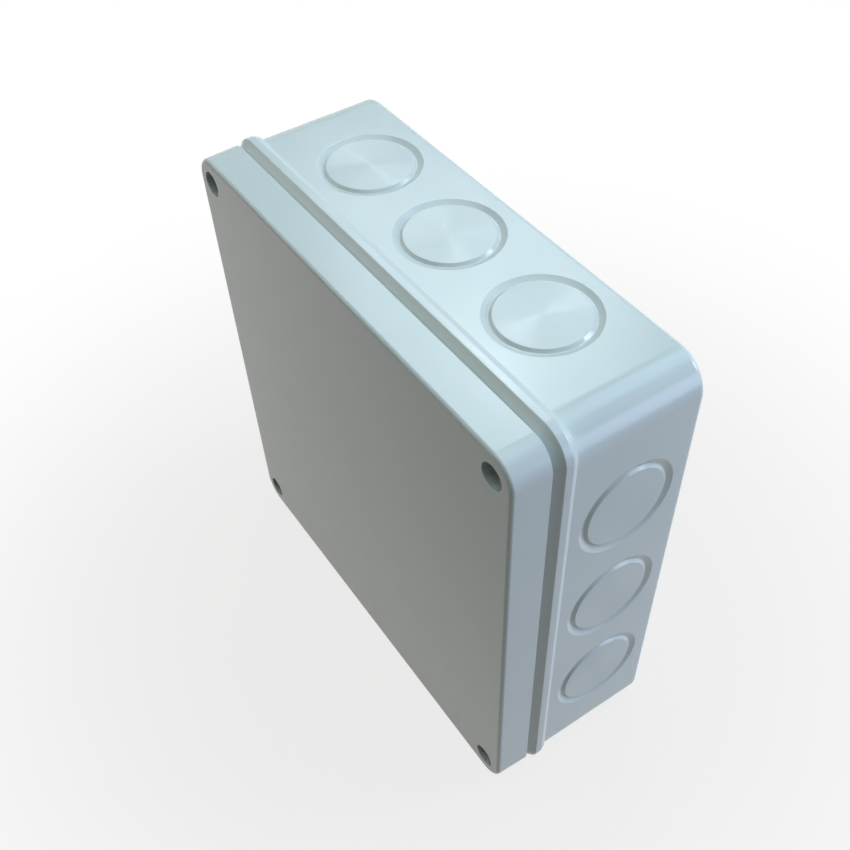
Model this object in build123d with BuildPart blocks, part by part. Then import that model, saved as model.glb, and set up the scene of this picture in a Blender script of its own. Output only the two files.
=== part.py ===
from build123d import *
import os
from math import atan2, cos, degrees, radians, sin

# Square wall-mounting junction box: a moulded base tub with a rim and three
# knock-outs on each side, and a cover held by four corner screws over a gasket.
# All lengths are millimetres. The box stands as it hangs on a wall: +Z is up, the
# cover faces -Y and the back is at +Y. The origin is under the middle of the box,
# on the lowest edge of the rim.

# Overall size, measured over the rim
width = 200.0
height = 200.0
depth = 74.0

# Walls of the base tub
base_inset = 1.1
base_draft = 0.5
base_corner_radius = 14.0
base_wall = 3.2
floor_thickness = 3.0
back_edge_radius = 2.5

# Rim round the mouth of the base, and the bevel that leads from it under the cover
rim_corner_radius = 11.5
rim_thickness = 4.9
rim_rear_radius = 0.8
rim_front_radius = 0.5
bevel_height = 3.0

# Sealing tongue that stands up from the mouth of the base into the cover
tongue_thickness = 1.4
seal_corner_radius = 3.0

# Corner posts and the screws that hold the cover
screw_inset = 11.0
post_radius = 8.5
post_rise = 1.5
screw_radius = 2.0
screw_length = 24.0
screw_tip_length = 1.6
screw_head_radius = 3.6
screw_head_height = 2.6
screw_head_round = 0.7
recess_span = 4.4
recess_width = 1.0
recess_depth = 1.4
thread_fit = 0.05
pilot_depth = 26.0
core_radius = 4.2
core_roof = 3.0

# Cover
cover_inset = 1.15
cover_draft = 0.3
cover_height = 14.6
cover_plate = 2.8
cover_edge_radius = 1.5
cover_gap = 0.9
cover_fit = 0.3
well_radius = 4.8
well_floor = 2.5
post_gap = 0.2
screw_fit = 0.08

# Gasket, the channel that holds it, and the seal ring under each screw head
gasket_thickness = 3.0
gasket_overlap = 0.7
gasket_clearance = 0.2
channel_rib = 1.4
channel_depth = 7.0
seal_ring_thickness = 1.2
seal_ring_fit = 0.1
seal_ring_round = 0.4

# Knock-outs
knockouts_per_side = 3
knockout_pitch = 51.0
knockout_from_front = 47.4
blank_face_radius = 16.0
blank_edge_radius = 0.4
groove_bottom_radius = 17.2
groove_rim_radius = 19.6
groove_depth = 1.0
web_thickness = 0.6
entry_radius = 16.4
plug_clearance = 0.2
break_line = 0.05

# Fixing holes through the floor, and pillars for an inner mounting plate
fixing_spacing = 150.0
fixing_radius = 2.6
fixing_boss_radius = 6.0
fixing_boss_height = 2.5
plate_spacing = 120.0
plate_pillar_radius = 4.0
plate_pillar_height = 8.0
plate_pilot_radius = 1.6
plate_pilot_depth = 7.0

# Heights above the back face
cover_rear = depth - cover_height
bevel_top = cover_rear - cover_gap
rim_front = bevel_top - bevel_height
rim_rear = rim_front - rim_thickness
plate_underside = depth - cover_plate
tongue_top = plate_underside - gasket_thickness
post_top = bevel_top + post_rise
core_top = post_top - pilot_depth - core_roof
tube_end = post_top + post_gap
well_bottom = tube_end + well_floor
head_seat = well_bottom + seal_ring_thickness
knockout_height = depth - knockout_from_front

# Distances across the box
half_x = width / 2
half_z = height / 2
screw_x = half_x - screw_inset
screw_z = half_z - screw_inset
mouth_inset = base_inset + base_wall
tongue_inset = mouth_inset - tongue_thickness
skirt_inset = tongue_inset - cover_fit
tube_radius = post_radius - tongue_thickness - cover_fit
gasket_outset = tongue_thickness + cover_fit - gasket_clearance
rib_outset = -gasket_overlap - gasket_clearance

# Slopes
draft_angle = degrees(atan2(base_draft, rim_rear))
bevel_angle = degrees(atan2(tongue_inset, bevel_height))
cover_draft_angle = degrees(atan2(cover_draft, cover_height))


def level(above_back):
    """Plane across the box at a height above the back face, turned to the cover."""
    return Plane(
        origin=(0, depth / 2 - above_back, half_z),
        x_dir=(1, 0, 0),
        z_dir=(0, -1, 0),
    )


def rim_outline(inset):
    """Outline of the rim, taken in by an inset all round, corners too."""
    return RectangleRounded(width - 2 * inset, height - 2 * inset, rim_corner_radius - inset)


def screw_places():
    """Places of the four corner screws on a level."""
    return GridLocations(2 * screw_x, 2 * screw_z, 2, 2)


def wall_plane(side, along):
    """Plane on a drafted outer wall at a knock-out's centre, facing outwards."""
    outward = Vector(*sides[side])
    run = Vector(1, 0, 0) if outward.X == 0 else Vector(0, 0, 1)
    half = half_z if outward.X == 0 else half_x
    lean = base_draft * (rim_rear - knockout_height) / rim_rear
    centre = outward * (half - base_inset - lean) + run * along
    slope = radians(draft_angle)
    return Plane(
        origin=centre + Vector(0, depth / 2 - knockout_height, half_z),
        x_dir=run,
        z_dir=outward * cos(slope) + Vector(0, sin(slope), 0),
    )


# Mouth of the base, whose corners pass inside the screw posts
corner_block = 2 * screw_inset
with BuildSketch() as mouth:
    Rectangle(width - 2 * mouth_inset, height - 2 * mouth_inset)
    with screw_places():
        Circle(post_radius, mode=Mode.SUBTRACT)
    with GridLocations(2 * screw_x + corner_block, 2 * screw_z + corner_block, 2, 2):
        Rectangle(corner_block, corner_block, mode=Mode.SUBTRACT)
    fillet(mouth.vertices(), seal_corner_radius)

# Knock-outs, numbered from the left or from the bottom of each side
sides = {"top": (0, 0, 1), "right": (1, 0, 0), "bottom": (0, 0, -1), "left": (-1, 0, 0)}
first_along = -knockout_pitch * (knockouts_per_side - 1) / 2
knockouts = {
    f"knockout_{side}_{number + 1}": wall_plane(side, first_along + number * knockout_pitch)
    for side in sides
    for number in range(knockouts_per_side)
}

# What a knock-out takes out of the wall: a wide slope, the web's seat and the entry
with BuildPart() as entry_cut:
    with BuildSketch(Plane.XZ):
        with BuildLine():
            Polyline(
                (0, base_wall),
                (groove_rim_radius, base_wall),
                (groove_rim_radius, 0),
                (groove_bottom_radius, -groove_depth),
                (groove_bottom_radius, -groove_depth - web_thickness),
                (entry_radius, -groove_depth - web_thickness),
                (entry_radius, -2 * base_wall),
                (0, -2 * base_wall),
                close=True,
            )
        make_face()
    revolve(axis=Axis.Z)

# The blank that fills it: a flat disc with a sloping edge, down to the thin web
with BuildPart() as blank:
    with BuildSketch(Plane.XZ) as blank_section:
        with BuildLine():
            Polyline(
                (0, 0),
                (blank_face_radius, 0),
                (groove_bottom_radius - break_line, -groove_depth),
                (groove_bottom_radius - break_line, -groove_depth - web_thickness),
                (entry_radius - plug_clearance, -groove_depth - web_thickness),
                (entry_radius - plug_clearance, -base_wall),
                (0, -base_wall),
                close=True,
            )
        make_face()
        face_edge = blank_section.vertices().group_by(Axis.Z)[-1].sort_by(Axis.X)[-1]
        fillet(face_edge, blank_edge_radius)
    revolve(axis=Axis.Z)

# Rim and bevel
with BuildPart() as rim:
    with BuildSketch(level(rim_rear)):
        rim_outline(0)
    extrude(amount=rim_thickness)
    fillet(rim.faces().sort_by(Axis.Y)[-1].edges(), rim_rear_radius)
    with BuildSketch(level(rim_front)):
        rim_outline(0)
    extrude(amount=bevel_height, taper=bevel_angle)
    front_y = level(rim_front).origin.Y
    reach = rim_front_radius / 2
    front_edges = rim.edges().filter_by_position(Axis.Y, front_y - reach, front_y + reach)
    fillet(front_edges, rim_front_radius)

# Base: tub, rim, sealing tongue, entries, fixing holes, plate pillars and posts that
# are bored for the screws in front and cored out at the back
with BuildPart() as base:
    with BuildSketch(level(rim_rear)):
        RectangleRounded(width - 2 * base_inset, height - 2 * base_inset, base_corner_radius)
    extrude(amount=-rim_rear, taper=draft_angle)
    fillet(base.faces().sort_by(Axis.Y)[-1].edges(), back_edge_radius)
    add(rim.part)
    with BuildSketch(level(bevel_top)):
        add(mouth.sketch)
    extrude(amount=floor_thickness - bevel_top, taper=draft_angle, mode=Mode.SUBTRACT)
    with BuildSketch(level(bevel_top)):
        rim_outline(tongue_inset)
        add(mouth.sketch, mode=Mode.SUBTRACT)
    extrude(amount=post_rise)
    with BuildSketch(level(bevel_top)):
        offset(mouth.sketch, amount=tongue_thickness)
        add(mouth.sketch, mode=Mode.SUBTRACT)
    extrude(amount=tongue_top - bevel_top)
    with Locations(*[plane.location for plane in knockouts.values()]):
        add(entry_cut.part, mode=Mode.SUBTRACT)
    with BuildSketch(level(floor_thickness)):
        with GridLocations(fixing_spacing, fixing_spacing, 2, 2):
            Circle(fixing_boss_radius)
    extrude(amount=fixing_boss_height)
    with BuildSketch(level(floor_thickness)):
        with GridLocations(plate_spacing, plate_spacing, 2, 2):
            Circle(plate_pillar_radius)
    extrude(amount=plate_pillar_height)
    with BuildSketch(level(0)):
        with GridLocations(fixing_spacing, fixing_spacing, 2, 2):
            Circle(fixing_radius)
    extrude(amount=floor_thickness + fixing_boss_height, mode=Mode.SUBTRACT)
    with BuildSketch(level(floor_thickness + plate_pillar_height)):
        with GridLocations(plate_spacing, plate_spacing, 2, 2):
            Circle(plate_pilot_radius)
    extrude(amount=-plate_pilot_depth, mode=Mode.SUBTRACT)
    with BuildSketch(level(post_top)):
        with screw_places():
            Circle(screw_radius + thread_fit)
    extrude(amount=-pilot_depth, mode=Mode.SUBTRACT)
    with BuildSketch(level(0)):
        with screw_places():
            Circle(core_radius)
    extrude(amount=core_top, taper=draft_angle, mode=Mode.SUBTRACT)

# Cover: drafted shell, screw tubes with deep wells, and the gasket channel's rib
with BuildPart() as cover:
    with BuildSketch(level(cover_rear)):
        rim_outline(cover_inset)
    extrude(amount=cover_height, taper=cover_draft_angle)
    fillet(cover.faces().sort_by(Axis.Y)[0].edges(), cover_edge_radius)
    with BuildSketch(level(cover_rear)):
        rim_outline(skirt_inset)
    extrude(amount=cover_height - cover_plate, mode=Mode.SUBTRACT)
    with BuildSketch(level(plate_underside)):
        offset(mouth.sketch, amount=rib_outset)
        offset(mouth.sketch, amount=rib_outset - channel_rib, mode=Mode.SUBTRACT)
    extrude(amount=-channel_depth)
    with BuildSketch(level(plate_underside)):
        with screw_places():
            Circle(tube_radius)
    extrude(amount=tube_end - plate_underside)
    with BuildSketch(level(depth)):
        with screw_places():
            Circle(well_radius)
    extrude(amount=well_bottom - depth, mode=Mode.SUBTRACT)
    with BuildSketch(level(well_bottom)):
        with screw_places():
            Circle(screw_radius + screw_fit)
    extrude(amount=-well_floor, mode=Mode.SUBTRACT)

# Gasket that the tongue bears on
with BuildPart() as gasket:
    with BuildSketch(level(tongue_top)):
        offset(mouth.sketch, amount=gasket_outset)
        offset(mouth.sketch, amount=-gasket_overlap, mode=Mode.SUBTRACT)
    extrude(amount=gasket_thickness)

# One seal ring, then the four of them at the bottoms of the wells
with BuildPart() as seal_ring:
    with BuildSketch():
        Circle(screw_head_radius)
    extrude(amount=seal_ring_thickness)
    fillet(seal_ring.edges().filter_by(GeomType.CIRCLE), seal_ring_round)
    Hole(screw_radius + seal_ring_fit)

with BuildPart(level(well_bottom)) as screw_seals:
    with screw_places():
        add(seal_ring.part)

# Cover screw, standing on its head's underside with the tip downwards
with BuildPart() as screw:
    with BuildSketch():
        Circle(screw_head_radius)
    extrude(amount=screw_head_height)
    fillet(screw.faces().sort_by(Axis.Z)[-1].edges(), screw_head_round)
    with BuildSketch(Plane.XY.offset(screw_head_height)):
        Rectangle(recess_span, recess_width)
        Rectangle(recess_width, recess_span)
    extrude(amount=-recess_depth, mode=Mode.SUBTRACT)
    with BuildSketch():
        Circle(screw_radius)
    extrude(amount=-screw_length)
    chamfer(screw.faces().sort_by(Axis.Z)[0].edges(), screw_tip_length, screw_radius / 2)

# Every piece is written under its own name
os.makedirs("parts", exist_ok=True)

base.part.label = "base"
export_step(base.part, "parts/base.step")
cover.part.label = "cover"
export_step(cover.part, "parts/cover.step")
gasket.part.label = "gasket"
export_step(gasket.part, "parts/gasket.step")
screw_seals.part.label = "screw_seals"
export_step(screw_seals.part, "parts/screw_seals.step")

screws = {
    "cover_screw_top_left": (-screw_x, screw_z),
    "cover_screw_top_right": (screw_x, screw_z),
    "cover_screw_bottom_left": (-screw_x, -screw_z),
    "cover_screw_bottom_right": (screw_x, -screw_z),
}
for name, place in screws.items():
    with BuildPart(level(head_seat)) as cover_screw:
        with Locations(place):
            add(screw.part)
    cover_screw.part.label = name
    export_step(cover_screw.part, f"parts/{name}.step")

for name, plane in knockouts.items():
    with BuildPart(plane) as knockout:
        add(blank.part)
    knockout.part.label = name
    export_step(knockout.part, f"parts/{name}.step")
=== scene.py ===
"""Looks of a square wall-mounting junction box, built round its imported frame.

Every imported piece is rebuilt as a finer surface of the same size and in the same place: a
moulded base tub with a rim, a drafted cover, twelve knock-outs, the gasket, the seal rings
and the four cover screws. Lengths are millimetres, measured across the box from its middle
(u to the right, v up) and above its back face (h towards the cover). They become metres in
the frame when a piece is meshed.
"""

import logging
import math
from collections.abc import Sequence
from dataclasses import dataclass, field
from enum import Enum

import bmesh
import bpy
import numpy as np
from mathutils import Euler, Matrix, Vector
from mathutils.geometry import delaunay_2d_cdt


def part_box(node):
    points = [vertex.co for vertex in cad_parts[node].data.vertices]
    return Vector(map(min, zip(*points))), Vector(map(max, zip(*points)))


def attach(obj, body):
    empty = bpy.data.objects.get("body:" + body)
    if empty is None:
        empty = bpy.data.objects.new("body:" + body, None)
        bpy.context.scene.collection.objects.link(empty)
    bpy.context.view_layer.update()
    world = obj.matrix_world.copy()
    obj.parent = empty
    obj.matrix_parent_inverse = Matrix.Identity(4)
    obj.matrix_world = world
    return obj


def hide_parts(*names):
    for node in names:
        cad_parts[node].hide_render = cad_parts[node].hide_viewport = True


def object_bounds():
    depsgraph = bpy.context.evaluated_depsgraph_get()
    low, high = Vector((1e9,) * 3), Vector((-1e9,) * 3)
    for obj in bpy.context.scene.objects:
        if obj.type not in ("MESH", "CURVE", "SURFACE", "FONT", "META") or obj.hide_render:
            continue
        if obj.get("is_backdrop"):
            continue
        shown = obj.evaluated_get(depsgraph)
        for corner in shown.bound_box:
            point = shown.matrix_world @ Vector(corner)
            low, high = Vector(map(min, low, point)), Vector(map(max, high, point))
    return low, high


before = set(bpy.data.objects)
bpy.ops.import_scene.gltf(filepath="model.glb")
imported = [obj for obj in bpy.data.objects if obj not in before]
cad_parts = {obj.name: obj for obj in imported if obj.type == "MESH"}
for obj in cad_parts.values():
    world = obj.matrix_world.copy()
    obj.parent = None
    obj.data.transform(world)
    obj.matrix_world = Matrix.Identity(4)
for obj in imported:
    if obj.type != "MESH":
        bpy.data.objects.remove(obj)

LOG = logging.getLogger("junction_box")
Array = np.ndarray
Pair = tuple[float, float]
Colour = tuple[float, float, float]
Value = float | tuple[float, ...] | bpy.types.NodeSocket
Inputs = dict[str | int, Value]

# Metres in a millimetre
MM = 0.001
# Step that sizes from the frame are rounded to
GRAIN = 0.05
# Cell of space whose points are welded, and the cells' shift as a share of one
WELD = 1e-4
WELD_SHIFT = 0.137
# Coordinate of a chain's dropped ends, which only give its first and last direction
FAR = 99.0
ROUND_STEPS = 96
SMALL_ROUND_STEPS = 48
CORNER_STEPS = 24
# Largest turn between two points of a fillet
FILLET_TURN = math.radians(15)
# Smallest angle between faces that is shaded as an edge
CREASE = math.radians(21)
CHART = "turning"
WHITE = (1.0, 1.0, 1.0, 1.0)
# Numbers of the knock-outs on each side
NUMBERS = (1, 2, 3)


class Body(Enum):
    """Bodies of the frame that a piece can ride on."""

    BASE = "base"
    COVER = "cover"


class Slot(Enum):
    """Material slots of the record."""

    BASE = "base_shell"
    COVER = "cover_shell"
    BLANK = "knockout_blanks"
    GASKET = "gasket"
    SEAL = "screw_seals"
    STEEL = "screw_steel"


class Side(Enum):
    """The box's four sides, each with the way that it faces across the box."""

    TOP = (0.0, 1.0)
    RIGHT = (1.0, 0.0)
    BOTTOM = (0.0, -1.0)
    LEFT = (-1.0, 0.0)

    @property
    def facing(self) -> Array:
        """Direction out of the side, as u, v and h."""
        return np.array((*self.value, 0.0))

    @property
    def run(self) -> Array:
        """Direction along the side, to the right or up, as u, v and h."""
        return np.append(np.abs(self.value[::-1]), 0.0)

    def knockout(self, number: int) -> str:
        """Name of one of the side's knock-outs."""
        return f"knockout_{self.name.lower()}_{number}"


def grain(length: float) -> float:
    """A length in metres, as the nearest multiple of the grain in millimetres."""
    return round(length / MM / GRAIN) * GRAIN


@dataclass(frozen=True)
class Datum:
    """Where the box lies in the frame, read from the base's and the cover's boxes."""

    half: float
    depth: float
    back: float
    middle: float

    @classmethod
    def read(cls) -> "Datum":
        """Reads the box's half width, its depth and its middle from the frame.

        Returns:
            The datum.
        """
        low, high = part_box("base")
        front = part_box("cover")[0].y
        return cls(
            half=grain((high.x - low.x) / 2),
            depth=grain(high.y - front),
            back=high.y,
            middle=(high.z + low.z) / 2,
        )

    def levels(self, node: str) -> Pair:
        """Lowest and highest reach of a node above the back face, in millimetres."""
        low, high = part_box(node)
        return grain(self.back - high.y), grain(self.back - low.y)

    def centre(self, node: str) -> Pair:
        """Middle of a node across the box, as u and v in millimetres."""
        low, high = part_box(node)
        return grain((low.x + high.x) / 2), grain((low.z + high.z) / 2 - self.middle)

    def placed(self, points: Array) -> Array:
        """Points of the frame in metres: X is u, Y is the back less h, Z is the middle plus v."""
        u, v, h = points.T * MM
        return np.column_stack((u, self.back - h, self.middle + v))


def arc(centre: Pair, radius: float, start: float, end: float, steps: int) -> tuple[Array, Array]:
    """Points of an arc and the ways out from its centre.

    A point is the centre plus the radius times (cos angle, sin angle).

    Args:
        centre: The arc's centre.
        radius: Its radius.
        start: The first angle in degrees.
        end: The last angle in degrees.
        steps: The number of steps between them.

    Returns:
        The points and the unit vectors from the centre to them.
    """
    angles = np.radians(np.linspace(start, end, steps + 1))
    radial = np.column_stack((np.cos(angles), np.sin(angles)))
    return np.asarray(centre) + radius * radial, radial


def soften(corners: Sequence[Pair], radii: Sequence[float]) -> Array:
    """Rounds the inner corners of an open chain.

    Each corner becomes an arc that touches both of its sides. It starts and ends at
    radius * tan(turn / 2) from the corner, and its centre is the radius away from the first
    side, on the inside of the turn.

    Args:
        corners: The chain's points.
        radii: A radius for each inner corner, or 0 to keep it sharp.

    Returns:
        The points of the softened chain.
    """
    chain = np.asarray(corners, float)
    pieces = [chain[:1]]
    for before, corner, after, radius in zip(chain, chain[1:], chain[2:], radii):
        into = (corner - before) / np.linalg.norm(corner - before)
        out = (after - corner) / np.linalg.norm(after - corner)
        turn = math.atan2(into[0] * out[1] - into[1] * out[0], into @ out)
        if radius == 0:
            pieces.append(corner[None])
            continue
        inside = math.copysign(1, turn) * np.array((-into[1], into[0]))
        centre = corner - into * radius * math.tan(abs(turn) / 2) + inside * radius
        steps = max(2, math.ceil(abs(turn) / FILLET_TURN))
        angles = np.linspace(0, abs(turn), steps + 1)[:, None]
        pieces.append(centre + radius * (np.sin(angles) * into - np.cos(angles) * inside))
    pieces.append(chain[-1:])
    return np.vstack(pieces)


@dataclass(frozen=True)
class Outline:
    """A closed outline across the box, kept as its top right quarter.

    The quarter runs clockwise from the top side to the right side. The outline can be moved
    in or out along its own normals, which keeps its arcs round.
    """

    points: Array
    normals: Array

    def quarter(self, offset: float, turns: int = 0) -> Array:
        """One quarter of the outline, moved out.

        A quarter turn clockwise takes (u, v) to (v, -u).

        Args:
            offset: How far out it is moved.
            turns: How many quarter turns it is turned by.

        Returns:
            Its points.
        """
        points = self.points + offset * self.normals
        for _ in range(turns):
            points = points[:, ::-1] * (1, -1)
        return points

    def loop(self, offset: float) -> Array:
        """Points of the whole outline, clockwise, moved out by the offset."""
        return np.vstack([self.quarter(offset, turns) for turns in range(4)])

    def level(self, offset: float, height: float) -> Array:
        """The whole outline as rows of u, v and h, moved out and lifted to a height."""
        return lifted(self.loop(offset), height)

    def carry(self, profile: Array) -> Array:
        """Grid of a profile of offsets and heights, carried round the whole outline."""
        return np.stack([self.level(offset, height) for offset, height in profile])

    def carry_corner(self, profile: Array, turns: int) -> Array:
        """Grid of a profile carried round one quarter, counted from the top right."""
        rows = [lifted(self.quarter(offset, turns), height) for offset, height in profile]
        return np.stack(rows)


def lifted(points: Array, height: float) -> Array:
    """Rows of three coordinates, from rows of two and one height for them all."""
    return np.column_stack((points, np.full(len(points), height)))


@dataclass(frozen=True)
class Plan:
    """Outlines across the box that its pieces share."""

    half: float
    rim_radius: float = 11.5
    wall_inset: float = 1.1
    wall_radius: float = 14.0
    wall: float = 3.2
    tongue: float = 1.4
    screw_inset: float = 11.0
    post_radius: float = 8.5
    seal_radius: float = 3.0
    post_steps: int = 14
    seal_steps: int = 10

    @property
    def screw(self) -> float:
        """Distance of a screw's axis from the middle, both ways."""
        return self.half - self.screw_inset

    @property
    def mouth_half(self) -> float:
        """Half the width of the base's mouth."""
        return self.half - self.wall_inset - self.wall

    @property
    def tongue_inset(self) -> float:
        """How far the tongue's outer face lies inside the rim."""
        return self.wall_inset + self.wall - self.tongue

    @property
    def stop(self) -> float:
        """Where the mouth's straight side ends and its first fillet starts."""
        # The fillet touches the side and the post, so its centre is both radii from the post's
        rise = self.mouth_half - self.seal_radius - self.screw
        return self.screw - math.sqrt((self.post_radius + self.seal_radius) ** 2 - rise**2)

    def square(self, half: float, radius: float, stopped: bool) -> Outline:
        """A square outline with round corners.

        Args:
            half: Half its width.
            radius: Its corner radius.
            stopped: Whether it also has points where the mouth's straight sides end.

        Returns:
            The outline.
        """
        centre = half - radius
        points, normals = arc((centre, centre), radius, 90, 0, CORNER_STEPS)
        if stopped:
            points = np.vstack(((self.stop, half), points, (half, self.stop)))
            normals = np.vstack(((0, 1), normals, (1, 0)))
        return Outline(points, normals)

    @property
    def rim(self) -> Outline:
        """Outline over the rim, which the cover follows too."""
        return self.square(self.half, self.rim_radius, True)

    @property
    def outer_wall(self) -> Outline:
        """Outline of the tub's outer wall at the rim."""
        return self.square(self.half - self.wall_inset, self.wall_radius, False)

    @property
    def mouth(self) -> Outline:
        """Outline of the mouth, which passes inside the posts.

        A quarter is a fillet, an arc round the post, hollow towards the corner, and a fillet.

        Returns:
            The outline.
        """
        near = self.mouth_half - self.seal_radius
        lean = math.degrees(
            math.asin((near - self.screw) / (self.post_radius + self.seal_radius))
        )
        first = arc((self.stop, near), self.seal_radius, 90, -lean, self.seal_steps)
        post = arc(
            (self.screw, self.screw), self.post_radius, 180 - lean, 270 + lean, self.post_steps
        )
        last = arc((near, self.stop), self.seal_radius, 90 + lean, 0, self.seal_steps)
        points = np.vstack((first[0], post[0][1:], last[0][1:]))
        normals = np.vstack((first[1], -post[1][1:], last[1][1:]))
        return Outline(points, normals)

    @property
    def screws(self) -> list[Pair]:
        """Places of the four screws, clockwise from the top right."""
        return self.fourfold(self.screw)

    @staticmethod
    def fourfold(distance: float) -> list[Pair]:
        """Four places at a distance from the middle both ways, clockwise from the top right."""
        return [(u * distance, v * distance) for u, v in ((1, 1), (1, -1), (-1, -1), (-1, 1))]


@dataclass(frozen=True)
class Axis:
    """Axis that a profile is turned round, with the two directions across it."""

    origin: Array
    across: Array
    up: Array
    out: Array

    @classmethod
    def upright(cls, place: Pair) -> "Axis":
        """Axis square to the cover, at a place across the box."""
        return cls(np.array((*place, 0.0)), *np.eye(3))

    def turn(self, profile: Array, steps: int = ROUND_STEPS, closed: bool = True) -> Array:
        """Turns a profile of radii and heights round the axis.

        A point is the origin, plus the radius times (cos angle, sin angle) across the axis,
        plus the height along it.

        Args:
            profile: Rows of radius and height.
            steps: The number of steps round the axis.
            closed: Leaves out the last column, which lies on the first.

        Returns:
            A grid of points, one row for each point of the profile.
        """
        angles = np.linspace(0, 2 * math.pi, steps + 1)[: steps if closed else None]
        spoke = np.outer(np.cos(angles), self.across) + np.outer(np.sin(angles), self.up)
        radii, heights = profile[:, 0, None, None], profile[:, 1, None, None]
        return self.origin + radii * spoke + heights * self.out

    def ring(self, radius: float, height: float, steps: int = ROUND_STEPS) -> Array:
        """Points of one circle round the axis, at a height along it."""
        return self.turn(np.array(((radius, height),)), steps)[0]


def put(name: str, data: bpy.types.ID) -> bpy.types.Object:
    """Puts a new object into the scene.

    Args:
        name: Its name.
        data: The mesh, light or camera that it shows.

    Returns:
        The object.
    """
    made = bpy.data.objects.new(name, data)
    bpy.context.scene.collection.objects.link(made)
    return made


@dataclass
class Patchwork:
    """Surface patches of one piece, which are welded where their edges meet."""

    datum: Datum
    points: list[Array] = field(default_factory=list)
    charts: list[Array] = field(default_factory=list)
    quads: list[Array] = field(default_factory=list)
    triangles: list[Array] = field(default_factory=list)
    total: int = 0

    def lay(self, points: Array, chart: Array | None) -> int:
        """Adds points.

        Args:
            points: Rows of u, v and h.
            chart: Rows of flat coordinates for a pattern, or nothing.

        Returns:
            The number of the first point.
        """
        first = self.total
        self.points.append(points)
        self.charts.append(np.zeros((len(points), 2)) if chart is None else chart)
        self.total += len(points)
        return first

    def skin(self, grid: Array, closed: bool = True, chart: Array | None = None) -> None:
        """Adds a grid of points as quads between neighbouring rows and columns.

        Args:
            grid: The points, by row and column.
            closed: Joins the last column to the first.
            chart: Flat coordinates of the points, by row and column, or nothing.
        """
        rows, columns, _ = grid.shape
        flat_chart = None if chart is None else chart.reshape(-1, 2)
        first = self.lay(grid.reshape(-1, 3), flat_chart)
        index = first + np.arange(rows * columns).reshape(rows, columns)
        if closed:
            index = np.hstack((index, index[:, :1]))
        corners = (index[:-1, :-1], index[:-1, 1:], index[1:, 1:], index[1:, :-1])
        self.quads.append(np.stack(corners, axis=-1).reshape(-1, 4))

    def stand(self, profile: Array, places: list[Pair], steps: int) -> list[Array]:
        """Turns a profile round an upright axis at each place, and adds the skins.

        Args:
            profile: Rows of radius and height.
            places: Where the axes stand across the box.
            steps: The number of steps round each axis.

        Returns:
            The grids of points, one for each place.
        """
        grids = [Axis.upright(place).turn(profile, steps) for place in places]
        for grid in grids:
            self.skin(grid)
        return grids

    def fill(self, *loops: Array, without: int = 2) -> None:
        """Fills the plane face between closed loops.

        The loops are triangulated with their sides as fixed edges. A triangle stays if a ray
        from its middle crosses the loops an odd number of times.

        Args:
            loops: The outer loop and those of the holes, as rows of u, v and h.
            without: The coordinate that the plane is seen along.
        """
        points = np.vstack(loops)
        seen = np.delete(points, without, axis=1)
        starts = np.cumsum([0] + [len(loop) for loop in loops])
        sides = [
            np.column_stack((np.arange(a, b), np.roll(np.arange(a, b), -1)))
            for a, b in zip(starts, starts[1:])
        ]
        edges = np.vstack(sides)
        found = delaunay_2d_cdt(seen.tolist(), edges.tolist(), [], 0, WELD / 10, False)
        if len(found[0]) != len(points):
            raise ValueError("the loops of a face touch each other")
        triangles = np.array(found[2])
        middles = seen[triangles].mean(axis=1)[:, None]
        start, end = seen[edges[:, 0]], seen[edges[:, 1]]
        rise = end[:, 1] - start[:, 1]
        spans = (start[:, 1] > middles[..., 1]) != (end[:, 1] > middles[..., 1])
        share = (middles[..., 1] - start[:, 1]) / np.where(rise == 0, 1, rise)
        crossed = middles[..., 0] < start[:, 0] + share * (end[:, 0] - start[:, 0])
        inside = (spans & crossed).sum(axis=1) % 2 == 1
        self.triangles.append(self.lay(points, None) + triangles[inside])

    def faces(self, welded: Array) -> tuple[list[list[int]], Array]:
        """The piece's faces once its points are welded.

        A quad with two neighbouring corners in one place, as at a pole, becomes a triangle.

        Args:
            welded: For each laid point, the number of its welded point.

        Returns:
            The faces, and the laid point of every face corner in turn.
        """
        quads = np.vstack(self.quads)
        laid = [np.vstack(self.triangles)] if self.triangles else []
        for corner in range(4):
            pinched = welded[quads[:, corner]] == welded[quads[:, (corner + 1) % 4]]
            laid.append(np.delete(quads[pinched], corner, axis=1))
            quads = quads[~pinched]
        laid.append(quads)
        faces = [face for group in laid for face in welded[group].tolist()]
        return faces, np.concatenate([group.ravel() for group in laid])

    def mesh(self, name: str) -> bpy.types.Mesh:
        """Welds the patches and makes the mesh in the frame's metres.

        Points that fall in the same small cell of space are one point.

        Args:
            name: The mesh's name.

        Returns:
            The mesh, with its faces outwards.
        """
        points = np.vstack(self.points)
        cells = np.floor(points / WELD + WELD_SHIFT).astype(np.int64)
        _, first, welded = np.unique(cells, axis=0, return_index=True, return_inverse=True)
        faces, corners = self.faces(welded.ravel())
        mesh = bpy.data.meshes.new(name)
        mesh.from_pydata(self.datum.placed(points[first]), [], faces)
        chart = mesh.uv_layers.new(name=CHART)
        chart.data.foreach_set("uv", np.vstack(self.charts)[corners].astype(np.float32).ravel())
        outward = bmesh.new()
        outward.from_mesh(mesh)
        bmesh.ops.recalc_face_normals(outward, faces=outward.faces)
        outward.to_mesh(mesh)
        outward.free()
        return mesh

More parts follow.
